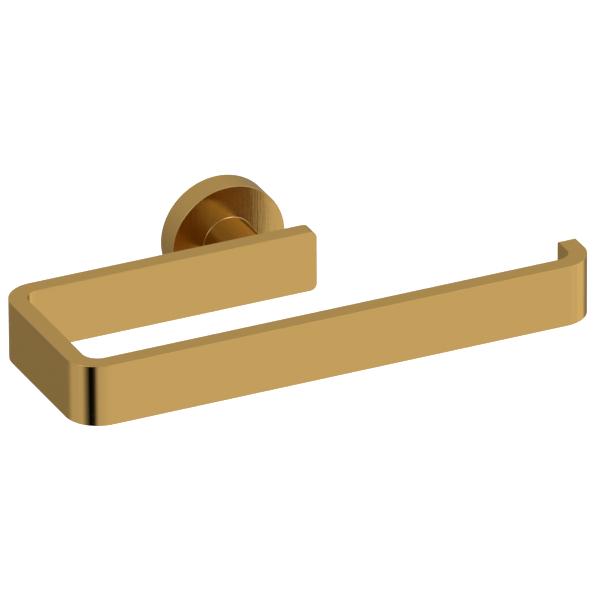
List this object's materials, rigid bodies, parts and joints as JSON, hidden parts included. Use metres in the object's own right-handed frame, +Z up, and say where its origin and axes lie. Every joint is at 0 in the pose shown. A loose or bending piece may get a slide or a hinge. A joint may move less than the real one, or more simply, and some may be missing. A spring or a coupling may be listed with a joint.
{
  "type": "toilet paper holder",
  "caption": "Wall-mounted toilet paper holder: a flat bar bent into an open arm with a short end stop, on a round post and rosette, in brushed gold.",
  "frame": {"origin": "centre of the wall plate and rosette, on the wall plane", "axes": "+Z up, -Y out of the wall towards the person, +X towards the arm's open end"},
  "size_m": [0.216, 0.108, 0.047],
  "materials": {
    "gold_bar": "brushed gold coating over steel",
    "gold_turned": "brushed gold coating over turned steel",
    "gold_rosette": "brushed gold coating over turned steel",
    "black_rubber": "matt",
    "plain_steel": "plain brushed stainless steel",
    "spigot_brass": "plain turned brass",
    "zinc_steel": "bright zinc",
    "dark_steel": "black oxide"
  },
  "bodies": {
    "bracket": {"wall_plate": "plain_steel", "spigot": "spigot_brass", "spigot_screw": "zinc_steel", "spigot_pin": "zinc_steel"},
    "holder": {"paper_bar": "gold_bar", "post": "gold_turned", "bar_screw": "dark_steel", "bar_screw_washer": "zinc_steel", "bar_pin": "zinc_steel"},
    "cover": {"rosette": "gold_rosette", "rosette_ring": "black_rubber"},
    "grub": {"set_screw": "dark_steel"}
  },
  "joints": [
    {"name": "holder_pull_off", "type": "slide", "parent": "bracket", "child": "holder", "axis": [0, -1, 0], "range_m": [0, 0.014]},
    {"name": "rosette_slide", "type": "slide", "parent": "holder", "child": "cover", "axis": [0, -1, 0], "range_m": [0, 0.0205]},
    {"name": "set_screw_turn", "type": "hinge", "parent": "holder", "child": "grub", "pos_m": [0, -0.0145, -0.0075], "axis": [0, 0, -1], "range_deg": [0, 180]}
  ]
}
